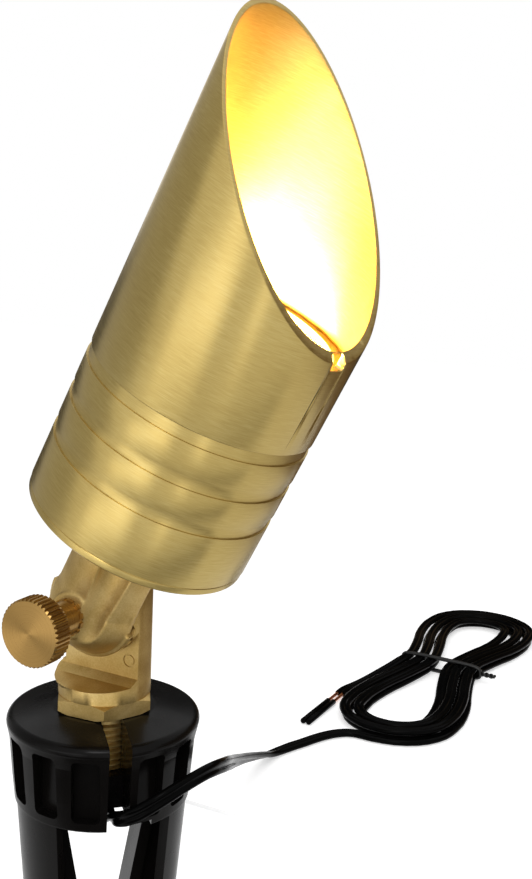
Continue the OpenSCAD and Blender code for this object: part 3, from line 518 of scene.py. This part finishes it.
def turned_brass(name, place, axis, dark, mid, light, roughness=0.33, streak=0.22, along=4.5,
                 streaky=0.75, rough_face=False, bore=0.0):
    """Brass with tool circles round an axis. streak and along are the streaks' spacing and length in
    mm, and streaky is their share of the tone. With rough_face they are rings on a faced end too.
    Nearer to the axis than bore, in metres, the surface is the piece's inside."""
    material, tree = start_material(name)
    local, tangent = around(tree, place, axis)
    # The real tool marks are about 0.1 mm apart, too fine for this view, so they are drawn coarser.
    if rough_face:
        split = add(tree, "SeparateXYZ", {0: local})
        flat = add(tree, "CombineXYZ", {"X": split.outputs["X"], "Y": split.outputs["Y"]})
        radius = add(tree, "VectorMath", {0: flat.outputs[0]}, operation="LENGTH")
        rings = add(tree, "CombineXYZ", {"X": radius.outputs["Value"], "Y": split.outputs["Z"]})
        stretched = add(tree, "VectorMath", {0: rings.outputs[0], 1: (1000 / streak,) * 3},
                        operation="MULTIPLY")
    else:
        scale = (1000 / along, 1000 / along, 1000 / streak)
        stretched = add(tree, "VectorMath", {0: local, 1: scale}, operation="MULTIPLY")
    streaks = add(tree, "TexNoise", {"Vector": stretched.outputs[0], "Scale": 1.0, "Detail": 3.0,
                                     "Roughness": 0.6})
    cloud = add(tree, "TexNoise", {"Vector": local, "Scale": 1000 / 22, "Detail": 2.0})
    tone = add(tree, "Math", {0: streaks.outputs["Fac"], 1: streaky, 2: (0.75 - streaky) / 2},
               operation="MULTIPLY_ADD")
    tone = add(tree, "Math", {0: cloud.outputs["Fac"], 1: 0.25, 2: tone.outputs[0]},
               operation="MULTIPLY_ADD")
    ramp = add(tree, "ValToRGB", {"Fac": tone.outputs[0]})
    ramp.color_ramp.elements[0].position = 0.3
    ramp.color_ramp.elements[0].color = linear(dark)
    ramp.color_ramp.elements[1].position = 0.7
    ramp.color_ramp.elements[1].color = linear(light)
    ramp.color_ramp.elements.new(0.5).color = linear(mid)
    rough = add(tree, "MapRange", {
        "Value": streaks.outputs["Fac"], "From Min": 0.3, "From Max": 0.7,
        "To Min": roughness - ROUGH_SWING, "To Max": roughness + ROUGH_SWING})
    flat_xy = add(tree, "VectorMath", {0: local, 1: (1, 1, 0)}, operation="MULTIPLY")
    off_axis = add(tree, "VectorMath", {0: flat_xy.outputs[0]}, operation="LENGTH")
    outside = add(tree, "Math", {0: off_axis.outputs["Value"], 1: bore}, operation="GREATER_THAN")
    depth = add(tree, "Math", {0: outside.outputs[0], 1: BUMP_OUTSIDE - BUMP_BORE, 2: BUMP_BORE},
                operation="MULTIPLY_ADD")
    bump = add(tree, "Bump", {"Height": streaks.outputs["Fac"], "Strength": depth.outputs[0],
                              "Distance": 0.02 * MM})
    metallic = add(tree, "Math", {0: outside.outputs[0], 1: 1 - METAL_BORE, 2: METAL_BORE},
                   operation="MULTIPLY_ADD")
    shader = add(tree, "BsdfPrincipled", {
        "Base Color": ramp.outputs["Color"], "Metallic": metallic.outputs[0],
        "Roughness": rough.outputs[0], "Anisotropic": 0.8, "Anisotropic Rotation": 0.25,
        "Tangent": tangent, "Normal": bump.outputs[0]})
    close_material(tree, shader)
    return material


# The bore is told from the outside by the distance from the axis. The wall thins to 1 mm at the mouth.
INTO_WALL = 0.85 * MM
head_radius = max((v.co - TILT_AT).cross(HEAD_AXIS).length for v in NODE["lamp_housing"].data.vertices)
head_brass = turned_brass("turned_brass", HEAD.translation, HEAD_AXIS, "#AF9658", "#BCA463", "#C9B475",
                          streaky=0.6, bore=head_radius - INTO_WALL)
SCREW_AXIS = Vector(JOINT["thumb_screw_turn"]["axis"])
screw_brass = turned_brass("turned_screw_brass", TILT_AT, SCREW_AXIS, "#93733F", "#A4824B", "#B6955E",
                           roughness=0.3, streak=0.25, streaky=0.25, rough_face=True)

# %% [markdown]
# ## Cast brass
# The bracket and the arm are cast, tumbled and then machined where they mate. Casting leaves soft
# corners and a very fine grain, so they have no streaks and reflect in a wider, softer way. The arm's
# corners are rounded with a voxel remesh and a few smoothing passes, and the bracket's with a bevel,
# which keeps its turned collar and hexagon crisp. Both are modifiers, so the solids stay as they are.
# Below the collar's top the bracket is turned, and there the same material is smoother and brighter.

# %% Cast brass and soft corners
COLLAR_TOP = 60.2 * MM


def cast_brass(name, dark, mid, light, roughness, grain=0.5):
    """Brass with a fine grain, in mm, that is smoother below the collar's top, where it is turned."""
    material, tree = start_material(name)
    coords = add(tree, "TexCoord")
    height = add(tree, "SeparateXYZ", {0: coords.outputs["Object"]})
    cast = add(tree, "Math", {0: height.outputs["Z"], 1: COLLAR_TOP}, operation="GREATER_THAN")
    fine = add(tree, "TexNoise", {"Vector": coords.outputs["Object"], "Scale": 1000 / grain,
                                  "Detail": 2.0})
    broad = add(tree, "TexNoise", {"Vector": coords.outputs["Object"], "Scale": 1000 / 9,
                                   "Detail": 3.0})
    tone = add(tree, "Math", {0: broad.outputs["Fac"], 1: 0.7}, operation="MULTIPLY")
    tone = add(tree, "Math", {0: fine.outputs["Fac"], 1: 0.3, 2: tone.outputs[0]},
               operation="MULTIPLY_ADD")
    ramp = add(tree, "ValToRGB", {"Fac": tone.outputs[0]})
    ramp.color_ramp.elements[0].position = 0.35
    ramp.color_ramp.elements[0].color = linear(dark)
    ramp.color_ramp.elements[1].position = 0.65
    ramp.color_ramp.elements[1].color = linear(light)
    ramp.color_ramp.elements.new(0.5).color = linear(mid)
    rough = add(tree, "MapRange", {"Value": broad.outputs["Fac"], "From Min": 0.3, "From Max": 0.7,
                                   "To Min": roughness - 0.12, "To Max": roughness})
    rough = add(tree, "Math", {0: cast.outputs[0], 1: 0.08, 2: rough.outputs[0]},
                operation="MULTIPLY_ADD")
    grain_depth = add(tree, "Math", {0: cast.outputs[0], 1: 0.25}, operation="MULTIPLY")
    bump = add(tree, "Bump", {"Height": fine.outputs["Fac"], "Strength": grain_depth.outputs[0],
                              "Distance": 0.04 * MM})
    shader = add(tree, "BsdfPrincipled", {"Base Color": ramp.outputs["Color"], "Metallic": 1.0,
                                          "Roughness": rough.outputs[0], "Normal": bump.outputs[0]})
    close_material(tree, shader)
    return material


bracket_brass = cast_brass("cast_brass", "#B39556", "#C2A567", "#D1B77B", 0.5)
WELD_GAP = 0.000005


def welded(node):
    """A solid whose loose triangles a modifier joins, so that the next one meets whole surfaces."""
    obj = NODE[node]
    obj.modifiers.new("weld", "WELD").merge_threshold = WELD_GAP
    return obj


def soften(node, voxel, passes):
    """Rounds a cast solid's corners with modifiers, so that its own mesh stays as it is."""
    obj = welded(node)
    remesh = obj.modifiers.new("remesh", "REMESH")
    remesh.mode = "VOXEL"
    remesh.voxel_size = voxel
    remesh.use_smooth_shade = True
    smooth = obj.modifiers.new("smooth", "SMOOTH")
    smooth.factor = 0.5
    smooth.iterations = passes


def ease_edges(node, width, angle=30, segments=2):
    """Rounds a machined solid's sharp edges by a small width, with modifiers."""
    bevel = welded(node).modifiers.new("bevel", "BEVEL")
    bevel.width = width
    bevel.segments = segments
    bevel.profile = 0.5
    bevel.limit_method = "ANGLE"
    bevel.angle_limit = math.radians(angle)


soften("knuckle_arm", 0.4 * MM, 5)
ease_edges("knuckle_base", 0.35 * MM, 35, 3)

# %% [markdown]
# ## Moulded plastics and rubber
# The stake is black ABS with the fine matt skin of an etched mould. The lead is soft vinyl, glossier
# and slightly wavy. The seals are plain rubber. All three are dielectrics, so they differ in roughness,
# grain and in how black they are, and not in colour.

# %% Black plastics
def moulded(name, dark, light, roughness, grain, bump_depth, ior=1.5, specular=0.4):
    """A dull dielectric with a fine skin. grain is in mm, and bump_depth in mm."""
    material, tree = start_material(name)
    coords = add(tree, "TexCoord")
    fine = add(tree, "TexNoise", {"Vector": coords.outputs["Object"], "Scale": 1000 / grain,
                                  "Detail": 2.0})
    broad = add(tree, "TexNoise", {"Vector": coords.outputs["Object"], "Scale": 1000 / 14,
                                   "Detail": 2.0})
    mix = add(tree, "MixRGB", {"Fac": broad.outputs["Fac"], "Color1": linear(dark),
                               "Color2": linear(light)})
    rough = add(tree, "MapRange", {"Value": broad.outputs["Fac"], "From Min": 0.3, "From Max": 0.7,
                                   "To Min": roughness - 0.06, "To Max": roughness + 0.06})
    bump = add(tree, "Bump", {"Height": fine.outputs["Fac"], "Strength": 0.5,
                              "Distance": bump_depth * MM})
    shader = add(tree, "BsdfPrincipled", {
        "Base Color": mix.outputs[0], "Roughness": rough.outputs[0], "Normal": bump.outputs[0],
        "IOR": ior, "Specular IOR Level": specular})
    close_material(tree, shader)
    return material


stake_abs = moulded("black_moulded_abs", "#0A0909", "#100E0C", 0.25, 0.5, 0.008, specular=0.085)
lead_vinyl = moulded("black_vinyl", "#040404", "#070707", 0.17, 2.5, 0.01, 1.53, specular=0.025)
seal_rubber = moulded("black_rubber", "#101010", "#181818", 0.7, 0.4, 0.02)
tie_plastic = moulded("tie_plastic", "#060606", "#0B0B0B", 0.4, 0.8, 0.02)

# %% [markdown]
# ## Small inner finishes
# Steatite, plated steel, nickel, silicone and cast aluminium are each a plain shader with a noise that
# breaks up their roughness. They only show when the head is opened or seen through the mouth. The
# lead's copper ends are made in the same way, and they lie in plain sight.

# %% Inner finishes
def plain(name, colour, roughness, metallic=0.0, grain=1.0):
    """A single colour whose roughness varies with a grain in mm."""
    material, tree = start_material(name)
    coords = add(tree, "TexCoord")
    noise = add(tree, "TexNoise", {"Vector": coords.outputs["Object"], "Scale": 1000 / grain,
                                   "Detail": 2.0})
    rough = add(tree, "MapRange", {"Value": noise.outputs["Fac"], "From Min": 0.3, "From Max": 0.7,
                                   "To Min": roughness - 0.05, "To Max": roughness + 0.05})
    shader = add(tree, "BsdfPrincipled", {"Base Color": linear(colour), "Metallic": metallic,
                                          "Roughness": rough.outputs[0]})
    close_material(tree, shader)
    return material


steatite = plain("steatite", "#E4DFD2", 0.6, grain=0.6)
zinc_plate = plain("zinc_plated_steel", "#A9A9A4", 0.35, 1.0, 3.0)
nickel_pin = plain("nickel_plate", "#C9C6BE", 0.2, 1.0, 2.0)
cast_aluminium = plain("cast_aluminium", "#C8C8C6", 0.45, 1.0, 1.2)
bare_copper = plain("bare_copper", "#C77A4C", 0.28, 1.0, 0.8)
silicone = plain("silicone", "#D8D3C6", 0.55, grain=1.5)

# %% [markdown]
# ## The lit lamp
# The lamp is on. Its warm white light is far brighter than the studio, so the near wall of the shroud
# burns out to white and falls off through yellow to orange towards the tip. That order comes from the
# colour itself: red clips first, then green, then blue, so one warm emission gives all three.

# %% Lamp materials
def glowing(name, colour, strength):
    """A surface that shines evenly in one colour."""
    material, tree = start_material(name)
    glow = add(tree, "Emission", {"Color": linear(colour), "Strength": strength})
    close_material(tree, glow)
    return material


def clear(name, colour, roughness, alpha):
    """Flat clear glass, as a thin see-through sheet that light passes straight, with no refraction."""
    material, tree = start_material(name)
    shader = add(tree, "BsdfPrincipled", {"Base Color": linear(colour), "Roughness": roughness,
                                          "Alpha": alpha})
    close_material(tree, shader)
    return material


lamp_glow = glowing("lamp_glow", "#FFCB7E", 320.0)
glass_clear = clear("tempered_glass", "#F4FBF8", 0.02, 0.12)

# %% [markdown]
# ## Dressing the solids
# Each solid takes its finish by name. A bevel modifier rounds the machined edges a little, because no
# real edge is perfectly sharp and the thin bright line along it is what the eye looks for.

# %% Finishes by solid
FINISH = {
    "ground_stake": stake_abs, "knuckle_base": bracket_brass, "knuckle_arm": bracket_brass,
    "cord_grommet": seal_rubber, "base_lead": lead_vinyl, "arm_seal": seal_rubber,
    "arm_lock_nut": screw_brass, "lock_washer": screw_brass, "thumb_screw": screw_brass,
    "lamp_housing": head_brass, "glare_shroud": head_brass, "lens_ring": head_brass,
    "housing_o_ring": seal_rubber, "holder_bridge": zinc_plate, "holder_screws": zinc_plate,
    "lamp_holder": steatite, "holder_contacts": screw_brass, "head_leads": lead_vinyl,
    "lamp_pins": nickel_pin, "lamp_body": cast_aluminium, "led_board": lamp_glow,
    "lamp_lens": lamp_glow, "lens_gasket": silicone, "cover_glass": glass_clear}
for name, material in FINISH.items():
    NODE[name].data.materials.clear()
    NODE[name].data.materials.append(material)

ease_edges("lamp_housing", 0.4 * MM)
ease_edges("glare_shroud", 0.2 * MM)

# %% [markdown]
# ## Riding on the bodies
# Each new piece moves with the body of the solid that it stands for, and hides that solid.

# %% Pieces and bodies
MADE = ((flat_lead, lead_vinyl, "cord_black"), (copper, bare_copper, "copper_bare"),
        (insulation_slugs, lead_vinyl, "cord_black"), (twist_tie, tie_plastic, "stake_black"))
for piece, material, slot in MADE:
    piece.data.materials.clear()
    piece.data.materials.append(material)
    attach(piece, "stake")
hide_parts("lead_stretch", "lead_hank")
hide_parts("bare_copper")
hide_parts("lead_slugs")
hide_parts("lead_tie")

# %% [markdown]
# ## Floor and shelf
# The spike goes into the ground, so in the air it has nothing to stand on. The floor is put at the
# spike's tip, and a thin pale shelf lies at the soil line under the lead, which would lie on the soil.

# %% Floor and shelf
WHITE = (1, 1, 1, 1)
# The camera sees the sheets lifted by this much, so that only the nearest shadows show.
PALE_LIFT = 0.5
FLOOR_HALF = 3
FLOOR_THICK = 0.02
SHELF_FROM = (-0.02, 0.05)
SHELF_PAST = 0.03
SHELF_THICK = 0.0015


def pale(name, colour):
    """A pale matt sheet that takes shadows, and that metal and glass see as plain white."""
    material, tree = start_material(name)
    path = add(tree, "LightPath")
    seen = add(tree, "Math", {0: path.outputs["Is Glossy Ray"], 1: path.outputs["Is Transmission Ray"]},
               operation="MAXIMUM")
    paper = add(tree, "BsdfDiffuse", {"Color": linear(colour)})
    lift = add(tree, "Emission", {"Color": WHITE, "Strength": PALE_LIFT})
    lifted = add(tree, "AddShader", {0: paper.outputs[0], 1: lift.outputs[0]})
    faced = add(tree, "MixShader", {0: path.outputs["Is Camera Ray"], 1: paper.outputs[0],
                                    2: lifted.outputs[0]})
    white = add(tree, "Emission", {"Color": WHITE, "Strength": 1.0})
    shader = add(tree, "MixShader", {0: seen.outputs[0], 1: faced.outputs[0], 2: white.outputs[0]})
    close_material(tree, shader)
    return material


def staged(obj, material):
    """Gives a sheet its material."""
    obj.data.materials.append(material)
    return obj


def sheet_object(name, low, high, material):
    """A flat block from its low to its high corner, as part of the staging."""
    bm = bmesh.new()
    place = Matrix.Translation((Vector(low) + Vector(high)) / 2)
    size = Matrix.Diagonal((*(Vector(high) - Vector(low)), 1))
    bmesh.ops.create_cube(bm, size=1.0, matrix=place @ size)
    return staged(from_bmesh(bm, name), material)


tip_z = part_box("ground_stake")[0].z
sheet_object("floor", (-FLOOR_HALF, -FLOOR_HALF, tip_z - FLOOR_THICK), (FLOOR_HALF, FLOOR_HALF, tip_z),
             pale("pale_floor", "#FAFAFA"))
hank_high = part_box("lead_hank")[1]
shelf = sheet_object("shelf", (*SHELF_FROM, -SHELF_THICK),
                     (hank_high.x + SHELF_PAST, hank_high.y + SHELF_PAST, 0.0),
                     pale("pale_shelf", "#FAFAFA"))
shelf.visible_shadow = shelf.visible_diffuse = False
print(f"floor at {tip_z:.3f} m")

# %% [markdown]
# ## Light
# A white room lights the black plastic and the brass evenly. Two tall strips in front give the pair of
# bright bands down the barrel, one box stands low in front, and two more hang in front and above.
# Metal shows only what it mirrors, so grey cards stand where the barrel, the knuckle and the stake
# look, as a product photographer puts them: without them turned brass looks like paint. Only
# reflections see the cards.

# %% The room
ROOM_LEVEL = 0.55
world = bpy.data.worlds.new("studio")
bpy.context.scene.world = world
world.use_nodes = True
tree = world.node_tree
tree.nodes.clear()
path = add(tree, "LightPath")
seen = add(tree, "Math", {0: path.outputs["Is Camera Ray"], 1: path.outputs["Is Glossy Ray"]},
           operation="MAXIMUM")
seen = add(tree, "Math", {0: seen.outputs[0], 1: path.outputs["Is Transmission Ray"]},
           operation="MAXIMUM")
room = add(tree, "Background", {"Color": WHITE, "Strength": ROOM_LEVEL})
white = add(tree, "Background", {"Color": WHITE, "Strength": 1.0})
both = add(tree, "MixShader", {0: seen.outputs[0], 1: room.outputs[0], 2: white.outputs[0]})
add(tree, "OutputWorld", {"Surface": both.outputs[0]})


# %% Lamps and cards
def softbox(name, at, aim, size, power):
    """An area lamp that faces aim, as wide and tall as size, which the camera doesn't see."""
    light = bpy.data.lights.new(name, "AREA")
    light.shape = "RECTANGLE"
    light.size, light.size_y = size
    light.energy = power
    obj = new_object(name, light)
    obj.location = at
    obj.rotation_euler = (Vector(aim) - Vector(at)).to_track_quat("-Z", "Y").to_euler()
    obj.visible_camera = False


MIDDLE_UP = 55 * MM
middle = HEAD @ Vector((0, 0, MIDDLE_UP))
to_camera = (CAMERA_AT - middle).normalized()
toward = (to_camera - HEAD_AXIS * to_camera.dot(HEAD_AXIS)).normalized()
sideways = HEAD_AXIS.cross(toward)


def beside(turn, rise, distance):
    """A place beside the head: turn is round its axis from the camera's side, rise is along it."""
    a = math.radians(turn)
    return middle + (toward * math.cos(a) + sideways * math.sin(a)) * distance + HEAD_AXIS * rise


def card(name, at, aim, size, level, colour="#FFFFFF"):
    """A grey card that only reflections see, as wide and tall as size, facing aim."""
    bm = bmesh.new()
    bmesh.ops.create_grid(bm, x_segments=1, y_segments=1, size=0.5)
    bmesh.ops.scale(bm, vec=(*size, 1), verts=bm.verts)
    turn = (Vector(aim) - Vector(at)).to_track_quat("Z", "Y").to_matrix().to_4x4()
    bmesh.ops.transform(bm, verts=bm.verts, matrix=Matrix.Translation(at) @ turn)
    obj = staged(from_bmesh(bm, name), glowing(name, colour, level))
    obj.visible_camera = obj.visible_diffuse = obj.visible_shadow = obj.visible_transmission = False


card("card_left", beside(-108, -0.15, 0.6), middle, (0.95, 1.2), 0.5)
card("card_right", beside(122, -0.15, 0.6), middle, (2.1, 1.3), 0.18, "#FFD6A0")
card("card_middle", beside(3, -0.25, 0.6), middle, (0.08, 1.2), 0.6)
card("card_low", (0.068, -0.098, -0.055), (0, 0, -0.055), (0.36, 0.14), 0.05)
card("card_behind", (-0.16, 0.31, 0.13), (0, 0, 0.13), (0.7, 0.18), 0.03)
softbox("strip_left", beside(-17, -0.1, 0.62), middle, (0.14, 0.6), 0.12)
softbox("strip_right", beside(24, -0.12, 0.62), middle, (0.08, 0.6), 0.26)
softbox("box_front", (0.35, -0.7, 0.75), (0, 0, 0.08), (0.3, 0.3), 2.0)
softbox("box_low", (-0.05, -0.6, 0.0), (0, 0, 0.06), (0.5, 0.2), 0.45)
softbox("box_above", (0.1, -0.1, 1.0), middle, (0.6, 0.6), 2.0)
